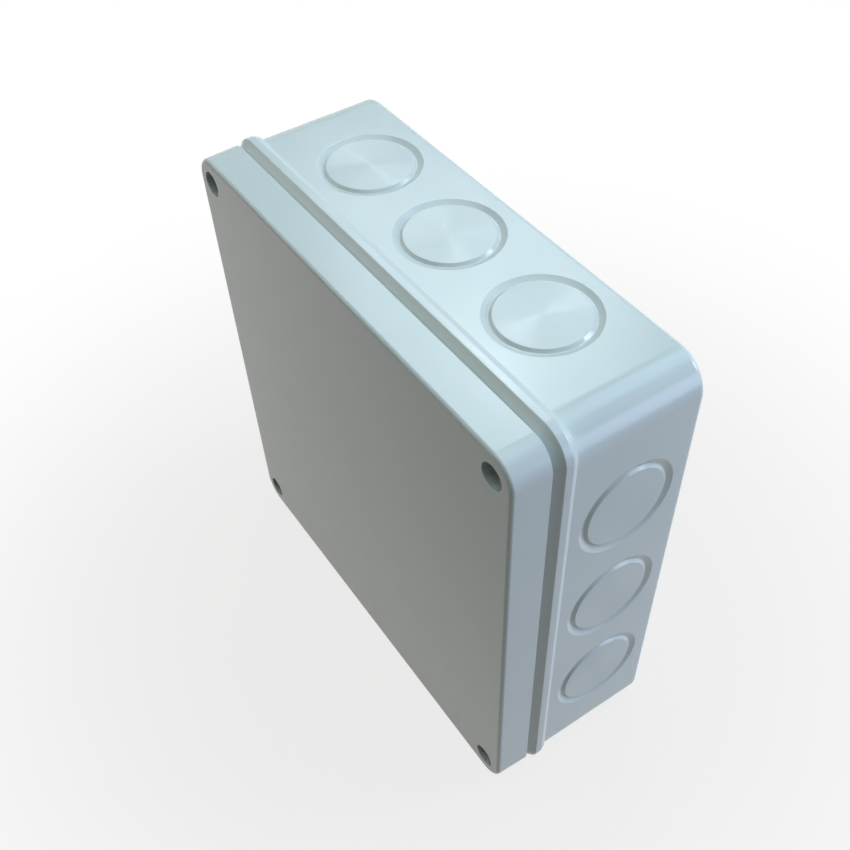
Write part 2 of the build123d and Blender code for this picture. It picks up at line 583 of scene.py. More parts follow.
    def piece(self, name: str, material: bpy.types.Material) -> bpy.types.Object:
        """Makes the finished object.

        Args:
            name: The object's name.
            material: Its material.

        Returns:
            The object, shaded smooth between creases.
        """
        mesh = self.mesh(name)
        mesh.materials.append(material)
        mesh.shade_smooth()
        mesh.set_sharp_from_angle(angle=CREASE)
        made = put(name, mesh)
        weighted = made.modifiers.new("flat_faces", "WEIGHTED_NORMAL")
        weighted.keep_sharp = True
        return made


def settle(made: bpy.types.Object, body: str, slot: Slot, *nodes: str) -> None:
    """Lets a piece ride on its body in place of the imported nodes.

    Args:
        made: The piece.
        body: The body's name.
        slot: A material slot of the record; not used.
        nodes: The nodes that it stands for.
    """
    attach(made, body)
    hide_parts(*nodes)
    LOG.info("%s: %d faces on %s", made.name, len(made.data.polygons), body)


class Graph:
    """Node tree of a material or a world, grown a node at a time."""

    def __init__(self, owner: bpy.types.Material | bpy.types.World) -> None:
        """Empties the owner's tree.

        Args:
            owner: The new material or world that the tree belongs to.
        """
        owner.use_nodes = True
        self.owner = owner
        self.tree = owner.node_tree
        self.tree.nodes.clear()

    def node(self, kind: str, inputs: Inputs | None = None, **settings: object) -> bpy.types.Node:
        """Adds a node.

        Args:
            kind: The node's type, without its ShaderNode prefix.
            inputs: Values or sockets for its inputs.
            settings: Its other settings.

        Returns:
            The node.
        """
        made = self.tree.nodes.new("ShaderNode" + kind)
        for name, value in settings.items():
            setattr(made, name, value)
        for name, value in (inputs or {}).items():
            if isinstance(value, bpy.types.NodeSocket):
                self.tree.links.new(value, made.inputs[name])
            else:
                made.inputs[name].default_value = value
        return made

    def place(self) -> bpy.types.NodeSocket:
        """Adds the piece's own coordinates, in metres."""
        return self.node("TexCoord").outputs["Object"]

    def noise(self, place: bpy.types.NodeSocket, size: float, detail: float = 2.0) -> Value:
        """Adds a noise pattern.

        Args:
            place: The coordinates in metres.
            size: The rough size of its blots in millimetres.
            detail: Its detail.

        Returns:
            The socket of its values, from 0 to 1.
        """
        pattern = self.node(
            "TexNoise", {"Vector": place, "Scale": 1 / (size * MM), "Detail": detail}
        )
        return pattern.outputs["Fac"]

    def spread(self, value: Value, low: float, high: float, room: Pair = (0.3, 0.7)) -> Value:
        """Spreads a pattern's values from those of the room to low and high."""
        limits = {"From Min": room[0], "From Max": room[1], "To Min": low, "To Max": high}
        return self.node("MapRange", {"Value": value, **limits}).outputs["Result"]

    def blend(self, share: Value, first: Colour, second: Colour) -> Value:
        """Mixes two colours, the second by the share."""
        colours = {"A": (*first, 1.0), "B": (*second, 1.0)}
        return self.node("Mix", {"Factor": share, **colours}, data_type="RGBA").outputs["Result"]

    def bump(self, height: Value, distance: float, under: Value | None = None) -> Value:
        """Turns heights into a bent normal.

        Args:
            height: The heights, from 0 to 1.
            distance: What 1 stands for, in millimetres.
            under: A normal that is bent already, or nothing.

        Returns:
            The socket of the normal.
        """
        inputs = {"Height": height, "Distance": distance * MM, "Strength": 1.0}
        if under is not None:
            inputs["Normal"] = under
        return self.node("Bump", inputs).outputs["Normal"]

    def finish(self, inputs: Inputs) -> bpy.types.Material:
        """Closes the tree with its surface.

        Args:
            inputs: Values or sockets for the surface's shader.

        Returns:
            The material.
        """
        surface = self.node("BsdfPrincipled", inputs)
        self.node("OutputMaterial", {"Surface": surface.outputs[0]})
        return self.owner


def linear(red: int, green: int, blue: int) -> Colour:
    """A colour's linear values from its display values.

    Args:
        red: Red, from 0 to 255.
        green: Green, from 0 to 255.
        blue: Blue, from 0 to 255.

    Returns:
        The linear values: each is ((value + 0.055) / 1.055) to the power 2.4, or the value
        over 12.92 where it is dark.
    """
    shares = np.array((red, green, blue)) / 255
    bright = ((shares + 0.055) / 1.055) ** 2.4
    return tuple(np.where(shares > 0.04045, bright, shares / 12.92).tolist())


@dataclass(frozen=True)
class MouldedPlastic:
    """Semi-gloss moulded plastic: a faint cloudiness, a fine grain and an uneven gloss."""

    name: str
    light: Colour = linear(205, 211, 208)
    dark: Colour = linear(201, 207, 204)
    cloud: float = 45.0
    grain: float = 0.9
    grain_height: float = 0.0035
    wave: float = 16.0
    wave_height: float = 0.02
    gloss_patch: float = 12.0
    roughness: Pair = (0.2, 0.25)
    refraction: float = 1.5

    def start(self) -> tuple[Graph, Inputs]:
        """Grows the part of the tree that every plastic piece has.

        Returns:
            The graph and the surface's inputs so far.
        """
        graph = Graph(bpy.data.materials.new(self.name))
        place = graph.place()
        cloud = graph.spread(graph.noise(place, self.cloud, detail=3), 0, 1)
        gloss = graph.spread(graph.noise(place, self.gloss_patch), *self.roughness)
        wave = graph.bump(graph.noise(place, self.wave, detail=0), self.wave_height)
        skin = graph.bump(graph.noise(place, self.grain), self.grain_height, wave)
        return graph, {
            "Base Color": graph.blend(cloud, self.dark, self.light),
            "Roughness": gloss,
            "Normal": skin,
            "IOR": self.refraction,
        }

    def material(self) -> bpy.types.Material:
        """Makes the material."""
        graph, inputs = self.start()
        return graph.finish(inputs)


@dataclass(frozen=True)
class TurnedPlastic(MouldedPlastic):
    """Plastic moulded against a turned punch, whose fine rings draw out the highlights."""

    roughness: Pair = (0.2, 0.23)
    pitch: float = 0.35
    ring_height: float = 0.0015
    pull: float = 1.0

    def material(self) -> bpy.types.Material:
        """Makes the material.

        The rings are waves of the distance from the disc's centre, which the chart holds:
        their height is the sine of the distance times a full turn over the pitch.

        Returns:
            The material.
        """
        graph, inputs = self.start()
        chart = graph.node("UVMap", uv_map=CHART).outputs["UV"]
        distance = graph.node("SeparateXYZ", {"Vector": chart}).outputs["X"]
        turns = 2 * math.pi / (self.pitch * MM)
        angle = graph.node("Math", {0: distance, 1: turns}, operation="MULTIPLY").outputs[0]
        ripple = graph.node("Math", {0: angle}, operation="SINE").outputs[0]
        inputs["Normal"] = graph.bump(ripple, self.ring_height, inputs["Normal"])
        inputs["Anisotropic"] = self.pull
        tangent = graph.node("Tangent", direction_type="UV_MAP", uv_map=CHART)
        inputs["Tangent"] = tangent.outputs["Tangent"]
        return graph.finish(inputs)


@dataclass(frozen=True)
class Foam:
    """Closed-cell foam rubber: dull, with open skin pores."""

    name: str
    light: Colour = linear(70, 72, 74)
    dark: Colour = linear(38, 39, 41)
    cell: float = 0.5
    cell_room: Pair = (0.1, 0.6)
    cell_depth: float = 0.12
    gloss_patch: float = 4.0
    roughness: Pair = (0.75, 0.9)

    def material(self) -> bpy.types.Material:
        """Makes the material.

        Returns:
            The material.
        """
        graph = Graph(bpy.data.materials.new(self.name))
        place = graph.place()
        pattern = graph.node("TexVoronoi", {"Vector": place, "Scale": 1 / (self.cell * MM)})
        cells = pattern.outputs["Distance"]
        tone = graph.spread(cells, 0, 1, self.cell_room)
        gloss = graph.spread(graph.noise(place, self.gloss_patch), *self.roughness)
        return graph.finish(
            {
                "Base Color": graph.blend(tone, self.dark, self.light),
                "Roughness": gloss,
                "Normal": graph.bump(cells, self.cell_depth),
            }
        )


@dataclass(frozen=True)
class Mottled:
    """Finish in two blended tones, with an uneven gloss and fine pits."""

    name: str
    light: Colour
    dark: Colour
    blot: float
    gloss_patch: float
    gloss_detail: float
    roughness: Pair
    pit: float
    pit_height: float
    metallic: float

    def material(self) -> bpy.types.Material:
        """Makes the material.

        Returns:
            The material.
        """
        graph = Graph(bpy.data.materials.new(self.name))
        place = graph.place()
        tone = graph.spread(graph.noise(place, self.blot, detail=4), 0, 1)
        patches = graph.noise(place, self.gloss_patch, self.gloss_detail)
        return graph.finish(
            {
                "Base Color": graph.blend(tone, self.dark, self.light),
                "Metallic": self.metallic,
                "Roughness": graph.spread(patches, *self.roughness),
                "Normal": graph.bump(graph.noise(place, self.pit), self.pit_height),
            }
        )


@dataclass(frozen=True)
class Rubber(Mottled):
    """Smooth moulded rubber with a slight bloom."""

    light: Colour = linear(52, 53, 55)
    dark: Colour = linear(34, 35, 37)
    blot: float = 1.6
    gloss_patch: float = 0.8
    gloss_detail: float = 2.0
    roughness: Pair = (0.5, 0.68)
    pit: float = 0.25
    pit_height: float = 0.01
    metallic: float = 0.0


@dataclass(frozen=True)
class PlatedSteel(Mottled):
    """Zinc-plated steel with fine pits and slightly uneven lustre."""

    light: Colour = linear(204, 205, 202)
    dark: Colour = linear(166, 168, 168)
    blot: float = 1.2
    gloss_patch: float = 0.5
    gloss_detail: float = 3.0
    roughness: Pair = (0.24, 0.4)
    pit: float = 0.15
    pit_height: float = 0.004
    metallic: float = 1.0


@dataclass
class BaseTub:
    """The moulded tub: drafted walls, rim, bevel, tongue, posts, entries and floor."""

    datum: Datum
    plan: Plan
    draft: float = 0.5
    floor: float = 3.0
    back_round: float = 2.5
    rim_rear: float = 50.6
    rim_front: float = 55.5
    rim_ledge: float = 0.2
    rim_slope: float = 2.0
    rim_rear_round: float = 1.5
    rim_front_round: float = 0.5
    bevel_top: float = 58.5
    post_top: float = 60.0
    edge_round: float = 0.3
    root_round: float = 0.6
    floor_round: float = 1.0
    screw_bore: float = 2.05
    bore_depth: float = 26.0
    core_radius: float = 4.2
    core_top: float = 31.0
    fixing_spacing: float = 150.0
    fixing_radius: float = 2.6
    boss_radius: float = 6.0
    boss_height: float = 2.5
    plate_spacing: float = 120.0
    pillar_radius: float = 4.0
    pillar_height: float = 8.0
    pilot_radius: float = 1.6
    pilot_depth: float = 7.0
    groove_rim: float = 19.6
    groove_bottom: float = 17.2
    groove_flat: float = 0.2
    groove_depth: float = 1.0
    groove_round: float = 0.8
    web: float = 0.6
    entry_radius: float = 16.4

    @property
    def slope(self) -> float:
        """How much the wall widens for each millimetre of height."""
        return self.draft / self.rim_rear

    @property
    def wall_thickness(self) -> float:
        """Thickness of the wall between its outer and inner planes.

        Returns:
            The distance between the planes, square to them.
        """
        outer = self.plan.half - self.plan.wall_inset - self.draft
        inner = self.plan.mouth_half - self.bevel_top * self.slope
        return (outer - inner) * math.cos(math.atan(self.slope))

    def wall_axis(self, side: Side, along: float, height: float) -> Axis:
        """Axis of a knock-out, square to the drafted wall.

        Args:
            side: The side that it is on.
            along: Its place along the side.
            height: Its height above the back face.

        Returns:
            The axis, with its origin on the wall's outer face.
        """
        lean = math.atan(self.slope)
        half = self.plan.half - self.plan.wall_inset - self.draft + self.slope * height
        climb = np.array((0.0, 0.0, 1.0))
        return Axis(
            origin=side.facing * half + side.run * along + climb * height,
            across=side.run,
            up=side.facing * math.sin(lean) + climb * math.cos(lean),
            out=side.facing * math.cos(lean) - climb * math.sin(lean),
        )

    def entries(self, side: Side) -> list[Axis]:
        """Axes of the entries on one side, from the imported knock-outs."""
        return [self.entry(side, number) for number in NUMBERS]

    def entry(self, side: Side, number: int) -> Axis:
        """Axis of one entry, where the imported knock-out has it.

        Args:
            side: The side that it is on.
            number: Its number on that side.

        Returns:
            The axis.
        """
        node = side.knockout(number)
        low, high = self.datum.levels(node)
        along = float(np.dot(self.datum.centre(node), side.run[:2]))
        return self.wall_axis(side, along, grain((low + high) / 2 * MM))

    def side_face(
        self, work: Patchwork, side: Side, reach: float, rows: Array, radius: float, out: float
    ) -> None:
        """Fills one plane side of the wall round its three entries.

        Args:
            work: The patches so far.
            side: The side.
            reach: Half the length of its straight stretch.
            rows: Distance from the middle and height of its lower and upper edges.
            radius: The radius of its holes.
            out: Where the plane lies along the entries' axes.
        """
        (low, bottom), (high, top) = rows
        ends = ((-reach, low, bottom), (reach, low, bottom), (reach, high, top), (-reach, high, top))
        edge = [side.run * u + side.facing * half + (0.0, 0.0, h) for u, half, h in ends]
        holes = [axis.ring(radius, out) for axis in self.entries(side)]
        work.fill(np.array(edge), *holes, without=int(abs(side.value[1])))

    def outside(self, work: Patchwork) -> float:
        """Adds the back edge, the walls and the rim with its bevel.

        Args:
            work: The patches so far.

        Returns:
            How far inside the wall's outline the flat back face starts.
        """
        wall, rim = self.plan.outer_wall, self.plan.rim
        wall_half = self.plan.half - self.plan.wall_inset
        back = soften(
            ((-FAR, 0), (-self.draft, 0), (0, self.rim_rear)), (self.back_round,)
        )[1:-1]
        straight = np.array((back[-1], (0, self.rim_rear)))
        work.skin(wall.carry(back))
        groove = self.groove_profile()
        for turns, side in enumerate(Side):
            work.skin(wall.carry_corner(straight, turns), closed=False)
            self.side_face(
                work,
                side,
                wall_half - self.plan.wall_radius,
                straight + (wall_half, 0),
                groove[0, 0],
                0,
            )
        inset = -self.plan.tongue_inset
        lip = soften(
            (
                (inset, self.rim_rear),
                (self.rim_ledge - self.plan.wall_inset, self.rim_rear),
                (0, self.rim_rear + self.rim_slope),
                (0, self.rim_front),
                (inset, self.bevel_top),
                (inset, self.post_top),
            ),
            (0, self.rim_rear_round, self.rim_front_round, self.edge_round),
        )[1:]
        work.skin(rim.carry(lip))
        work.fill(wall.level(*straight[-1]), rim.level(*lip[0]))
        return float(back[0, 0])

    def groove_profile(self) -> Array:
        """Section of a wall round its knock-out, from the outer plane to the inner one.

        Returns:
            Rows of radius and height along the knock-out's axis.
        """
        seat = -self.groove_depth - self.web
        thickness = self.wall_thickness
        return soften(
            (
                (FAR, 0),
                (self.groove_rim, 0),
                (self.groove_bottom + self.groove_flat, -self.groove_depth),
                (self.groove_bottom, -self.groove_depth),
                (self.groove_bottom, seat),
                (self.entry_radius, seat),
                (self.entry_radius, -thickness),
                (FAR, -thickness),
            ),
            (self.groove_round, self.groove_flat / 2, 0, 0, 0, self.edge_round),
        )[1:-1]

    def inside(self, work: Patchwork) -> float:
        """Adds the tongue, the inner walls with their corners and the floor's fillet.

        Args:
            work: The patches so far.

        Returns:
            How far inside the mouth's outline the flat floor starts.
        """
        mouth, tongue, top = self.plan.mouth, self.plan.tongue, self.datum.levels("base")[1]
        work.skin(
            mouth.carry(
                soften(
                    ((tongue, self.post_top), (tongue, top), (0, top), (0, self.bevel_top)),
                    (self.edge_round, self.edge_round),
                )
            )
        )
        narrowing = -self.slope * (self.bevel_top - self.floor)
        foot = soften(
            ((0, self.bevel_top), (narrowing, self.floor), (-FAR, self.floor)),
            (self.floor_round,),
        )[:-1]
        work.skin(mouth.carry(foot[1:]))
        groove = self.groove_profile()
        for turns, side in enumerate(Side):
            work.skin(mouth.carry_corner(foot[:2], turns), closed=False)
            self.side_face(
                work,
                side,
                self.plan.stop,
                foot[:2] + (self.plan.mouth_half, 0),
                groove[-1, 0],
                groove[-1, 1],
            )
        return float(foot[-1, 0])

    def posts(self, work: Patchwork) -> None:
        """Adds the tops of the corner posts and the bores for the screws.

        Args:
            work: The patches so far.
        """
        end = self.post_top - self.bore_depth
        bore = np.array(((self.screw_bore, self.post_top), (self.screw_bore, end), (0, end)))
        for turns, grid in enumerate(work.stand(bore, self.plan.screws, SMALL_ROUND_STEPS)):
            outer = self.plan.rim.quarter(-self.plan.tongue_inset, turns)
            inner = self.plan.mouth.quarter(self.plan.tongue, turns)
            work.fill(lifted(np.vstack((outer, inner[-2:0:-1])), self.post_top), grid[0])

    def floor_and_back(self, work: Patchwork, floor_edge: float, back_edge: float) -> None:
        """Adds the floor with its bosses and pillars, and the back with its cores.

        Args:
            work: The patches so far.
            floor_edge: Where the flat floor starts, from the mouth's outline.
            back_edge: Where the flat back starts, from the wall's outline.
        """
        boss_top, pillar_top = self.floor + self.boss_height, self.floor + self.pillar_height
        pilot_end = pillar_top - self.pilot_depth
        boss = soften(
            (
                (FAR, self.floor),
                (self.boss_radius, self.floor),
                (self.boss_radius, boss_top),
                (self.fixing_radius, boss_top),
                (self.fixing_radius, 0),
                (FAR, 0),
            ),
            (self.root_round, self.edge_round, self.edge_round, self.edge_round),
        )[1:-1]
        pillar = soften(
            (
                (FAR, self.floor),
                (self.pillar_radius, self.floor),
                (self.pillar_radius, pillar_top),
                (self.pilot_radius, pillar_top),
                (self.pilot_radius, pilot_end),
                (0, pilot_end),
            ),
            (self.root_round, self.edge_round, self.edge_round, 0),
        )[1:]
        core = soften(
            (
                (FAR, 0),
                (self.core_radius, 0),
                (self.core_radius - self.slope * self.core_top, self.core_top),
                (0, self.core_top),
            ),
            (self.edge_round, self.root_round),
        )[1:]
        fixings = self.plan.fourfold(self.fixing_spacing / 2)
        plate_corners = self.plan.fourfold(self.plate_spacing / 2)
        bosses = work.stand(boss, fixings, SMALL_ROUND_STEPS)
        pillars = work.stand(pillar, plate_corners, SMALL_ROUND_STEPS)
        cores = work.stand(core, self.plan.screws, SMALL_ROUND_STEPS)
        on_floor = [grid[0] for grid in bosses + pillars]
        on_back = [grid[-1] for grid in bosses] + [grid[0] for grid in cores]
        work.fill(self.plan.mouth.level(floor_edge, self.floor), *on_floor)
        work.fill(self.plan.outer_wall.level(back_edge, 0), *on_back)

    def build(self, finish: MouldedPlastic) -> None:
        """Builds the tub as one closed skin and dresses it.

        Args:
            finish: Its plastic.
        """
        work = Patchwork(self.datum)
        back_edge = self.outside(work)
        floor_edge = self.inside(work)
        self.posts(work)
        self.floor_and_back(work, floor_edge, back_edge)
        groove = self.groove_profile()
        for side in Side:
            for axis in self.entries(side):
                work.skin(axis.turn(groove))
        tub = work.piece("base_moulding", finish.material())
        settle(tub, Body.BASE.value, Slot.BASE, "base")


@dataclass
class Knockouts:
    """The twelve round blanks, each a flat disc with a sloping edge on a thin web."""

    tub: BaseTub
    face_radius: float = 16.0
    face_round: float = 0.4
    slope_run: float = 1.05
    plug_radius: float = 16.2
    thickness: float = 3.2
    rings: int = 10

    def profile(self) -> Array:
        """Section of a blank from the middle of its face to the middle of its back.

        Returns:
            Rows of radius and height along its axis.
        """
        depth, web = self.tub.groove_depth, self.tub.web
        edge = soften(
            (
                (0, 0),
                (self.face_radius, 0),
                (self.face_radius + self.slope_run, -depth),
                (self.tub.groove_bottom, -depth),
                (self.tub.groove_bottom, -depth - web),
                (self.plug_radius, -depth - web),
                (self.plug_radius, -self.thickness),
                (0, -self.thickness),
            ),
            (self.face_round, self.tub.groove_flat / 2, 0, 0, 0, self.tub.edge_round),
        )
        face = np.linspace(edge[0], edge[1], self.rings, endpoint=False)
        return np.vstack((face, edge[1:]))

    def build(self, finish: TurnedPlastic) -> None:
        """Builds the twelve blanks and dresses them.

        The chart holds the distance from the disc's centre in metres and the way round it.

        Args:
            finish: Their plastic.
        """
        material = finish.material()
        profile = self.profile()
        turns = np.linspace(0, 1, ROUND_STEPS + 1)
        chart = np.stack(np.broadcast_arrays(profile[:, :1] * MM, turns[None]), axis=-1)
        for side in Side:
            for number in NUMBERS:
                node = side.knockout(number)
                work = Patchwork(self.tub.datum)
                grid = self.tub.entry(side, number).turn(profile, closed=False)
                work.skin(grid, closed=False, chart=chart)
                settle(work.piece(f"{node}_blank", material), Body.BASE.value, Slot.BLANK, node)


@dataclass
class Cover:
    """The drafted cover with its deep screw wells, their tubes and the gasket's channel."""

    datum: Datum
    plan: Plan
    inset: float = 1.15
    draft: float = 0.3
    plate: float = 2.8
    edge_round: float = 1.5
    lip_round: float = 0.2
    root_round: float = 0.3
    fit: float = 0.3
    rib_outset: float = 0.9
    rib: float = 1.4
    rib_depth: float = 7.0
    well_radius: float = 4.8
    well_round: float = 0.15
    well_floor: float = 2.5
    screw_hole: float = 2.08

    @property
    def underside(self) -> float:
        """Height of the plate's underside."""
        return self.datum.depth - self.plate

    def build(self, finish: MouldedPlastic) -> None:
        """Builds the cover as one closed skin and dresses it.

        Args:
            finish: Its plastic.
        """
        work = Patchwork(self.datum)
        rear, front = self.datum.levels("cover")
        skirt = -self.plan.tongue_inset + self.fit
        shell = soften(
            (
                (-FAR, front),
                (-self.inset - self.draft, front),
                (-self.inset, rear),
                (skirt, rear),
                (skirt, self.underside),
                (-FAR, self.underside),
            ),
            (self.edge_round, self.lip_round, self.lip_round, self.root_round),
        )[1:-1]
        rib_end = self.underside - self.rib_depth
        rib_inner = -self.rib_outset - self.rib
        rib = soften(
            (
                (FAR, self.underside),
                (-self.rib_outset, self.underside),
                (-self.rib_outset, rib_end),
                (rib_inner, rib_end),
                (rib_inner, self.underside),
                (-FAR, self.underside),
            ),
            (self.root_round,) * 4,
        )[1:-1]
        work.skin(self.plan.rim.carry(shell))
        work.skin(self.plan.mouth.carry(rib))
        tubes = work.stand(self.tube_profile(), self.plan.screws, ROUND_STEPS)
        work.fill(self.plan.rim.level(*shell[0]), *[tube[-1] for tube in tubes])
        roots = [tube[0] for tube in tubes]
        work.fill(self.plan.rim.level(*shell[-1]), self.plan.mouth.level(*rib[0]), *roots)
        work.fill(self.plan.mouth.level(*rib[-1]))
        lid = work.piece("cover_moulding", finish.material())
        settle(lid, Body.COVER.value, Slot.COVER, "cover")

    def tube_profile(self) -> Array:
        """Section of a screw tube and its well, from the underside to the front.

        Returns:
            Rows of radius and height.
        """
        well_bottom = self.datum.levels("screw_seals")[0]
        tube_end = well_bottom - self.well_floor
        tube_radius = self.plan.post_radius - self.plan.tongue - self.fit
        return soften(
            (
                (FAR, self.underside),
                (tube_radius, self.underside),
                (tube_radius, tube_end),
                (self.screw_hole, tube_end),
                (self.screw_hole, well_bottom),
                (self.well_radius, well_bottom),
                (self.well_radius, self.datum.depth),
                (FAR, self.datum.depth),
            ),
            (self.root_round, self.root_round, 0, 0, self.root_round, self.well_round),
        )[1:-1]


def ring_section(start: float, end: float, levels: Pair, radii: Sequence[float]) -> Array:
    """Section of a ring as a closed chain.

    It runs from the middle of its start side over the top to its end side, and back below.

    Args:
        start: Offset or radius of the start side.
        end: Offset or radius of the end side.
        levels: Heights of its bottom and top.
        radii: The radii of its four corners in turn.

    Returns:
        Rows of offset or radius and height.
    """
    bottom, top = levels
    middle = (start, (bottom + top) / 2)
    corners = ((start, top), (end, top), (end, bottom), (start, bottom))
    return soften((middle, *corners, middle), radii)


@dataclass
class Gasket:
    """The foam ring in the cover's channel, which the tongue bears on."""

    datum: Datum
    plan: Plan
    outset: float = 1.5
    overlap: float = 0.7
    round: float = 0.35

    def build(self, finish: Foam) -> None:
        """Carries the gasket's round-cornered section round the mouth.

        Args:
            finish: Its foam.
        """
        levels = self.datum.levels("gasket")
        section = ring_section(self.outset, -self.overlap, levels, (self.round,) * 4)
        work = Patchwork(self.datum)
        work.skin(self.plan.mouth.carry(section))
        ring = work.piece("gasket_ring", finish.material())
        settle(ring, Body.COVER.value, Slot.GASKET, "gasket")


@dataclass
class SealRings:
    """The four rubber rings under the screw heads."""

    datum: Datum
    plan: Plan
    outer: float = 3.6
    inner: float = 2.1
    round: float = 0.4
    clearance: float = 0.02

    def build(self, finish: Rubber) -> None:
        """Turns a ring's section round each screw's axis.

        Args:
            finish: Their rubber.
        """
        bottom, top = self.datum.levels("screw_seals")
        radii = (0, self.round, self.round, 0)
        section = ring_section(self.inner, self.outer, (bottom, top - self.clearance), radii)
        work = Patchwork(self.datum)
        work.stand(section, self.plan.screws, SMALL_ROUND_STEPS)
        rings = work.piece("screw_seal_rings", finish.material())
        settle(rings, Body.COVER.value, Slot.SEAL, "screw_seals")


@dataclass
class CoverScrews:
    """The four cover screws: a round head with a cross recess on a threaded shank."""

    datum: Datum
    head_radius: float = 3.6
    head_height: float = 2.6
    head_round: float = 0.7
    seat_round: float = 0.1
    shank_radius: float = 2.0
    neck: float = 1.5
    neck_round: float = 0.3
    pitch: float = 1.4
    thread_depth: float = 0.42
    thread_steepness: float = 1.6
    thread_crest: float = 0.3
    tip_length: float = 1.6
    rows_per_turn: int = 12
    recess_span: float = 4.4
    recess_width: float = 1.0
    recess_depth: float = 1.4
    recess_taper: float = 0.75
    recess_lip: float = 0.12

    def cross(self, axis: Axis, grow: float, scale: float, height: float) -> Array:
        """Outline of the cross recess at a height.

        Its twelve corners are those of one arm, at (span, -width), (span, width) and
        (width, width), and the same ones after each quarter turn. Span and width are half
        the arm's.

        Args:
            axis: The screw's axis.
            grow: How much wider each edge lies.
            scale: What the whole outline is multiplied by.
            height: Its height.

        Returns:
            Its points.
        """
        span = (self.recess_span / 2 + grow) * scale
        width = (self.recess_width / 2 + grow) * scale
        arm = np.array(((span, -width), (span, width), (width, width)))
        turned = [arm]
        for _ in range(3):
            turned.append(turned[-1][:, ::-1] * (-1, 1))
        across = np.vstack(turned)
        return axis.origin + np.column_stack((across, np.full(len(across), height)))

    def shank(self, axis: Axis, seat: float, tip: float) -> Array:
        """Threaded surface from the neck to the tip.

        The radius is the shank's, less the thread's depth times a triangular wave of height
        over pitch minus the share of a turn. The wave is made steeper and lowered by the
        crest, and what passes 0 or 1 is cut off. It fades in under the neck, and a cone of
        the tip's length narrows the shank to half its radius.

        Args:
            axis: The screw's axis.
            seat: Height of the head's underside.
            tip: Height of the shank's end.

        Returns:
            A grid of points.
        """
        start = seat - self.neck
        turns = (start - tip) / self.pitch
        heights = np.linspace(start, tip, round(turns * self.rows_per_turn) + 1)[:, None]
        angles = np.linspace(0, 2 * math.pi, SMALL_ROUND_STEPS, endpoint=False)[None]
        phase = (heights / self.pitch - angles / (2 * math.pi)) % 1
        wave = np.abs(2 * phase - 1) * self.thread_steepness
        trough = np.clip(wave - self.thread_crest, 0, 1)
        fade = np.clip((start - heights) / self.pitch, 0, 1)
        cone = self.shank_radius * (1 + np.clip((heights - tip) / self.tip_length, 0, 1)) / 2
        radii = np.minimum(self.shank_radius - self.thread_depth * trough * fade, cone)
        spokes = np.stack((np.cos(angles) * radii, np.sin(angles) * radii), axis=-1)
        return axis.origin + np.dstack((spokes, np.broadcast_to(heights, radii.shape)))

    def build(self, finish: PlatedSteel) -> None:
        """Builds each screw on its own body and dresses it.

        Args:
            finish: Their steel.
        """
        material = finish.material()
        for corner in ("top_left", "top_right", "bottom_left", "bottom_right"):
            node = f"cover_screw_{corner}"
            axis = Axis.upright(self.datum.centre(node))
            tip, top = self.datum.levels(node)
            seat = top - self.head_height
            work = Patchwork(self.datum)
            head = soften(
                (
                    (0, top),
                    (self.head_radius, top),
                    (self.head_radius, seat),
                    (self.shank_radius, seat),
                    (self.shank_radius, seat - self.neck),
                ),
                (self.head_round, self.seat_round, self.neck_round),
            )[1:]
            work.skin(axis.turn(head, SMALL_ROUND_STEPS))
            thread = self.shank(axis, seat, tip)
            work.skin(thread)
            middle = np.broadcast_to(axis.origin + (0, 0, tip), thread[-1].shape)
            work.skin(np.stack((thread[-1], middle)))
            lip = self.cross(axis, self.recess_lip, 1, top)
            wall = self.cross(axis, 0, 1, top - self.recess_lip)
            foot = self.cross(axis, 0, self.recess_taper, top - self.recess_depth)
            work.skin(np.stack((lip, wall, foot)))
            work.fill(axis.ring(*head[0], SMALL_ROUND_STEPS), lip)
            work.fill(foot)
            settle(work.piece(f"{node}_threaded", material), node, Slot.STEEL, node)


@dataclass(frozen=True)
class Lamp:
    """A square soft light that points at the box."""

    name: str
    towards: tuple[float, float, float]
    distance: float
    size: float
    strength: float
    colour: Colour

    def hang(self, target: Vector) -> None:
        """Hangs the lamp.

        Its power is the strength times the square of pi times the distance, so that a white
        surface that faces it looks white at a strength of 1.

        Args:
            target: What it points at.
        """
        light = bpy.data.lights.new(self.name, "AREA")
        light.shape = "SQUARE"
        light.size = self.size
        light.color = self.colour
        light.energy = self.strength * (math.pi * self.distance) ** 2
        lamp = put(self.name, light)
        direction = Vector(self.towards).normalized()
        lamp.location = target + direction * self.distance
        lamp.rotation_euler = direction.to_track_quat("Z", "Y").to_euler()


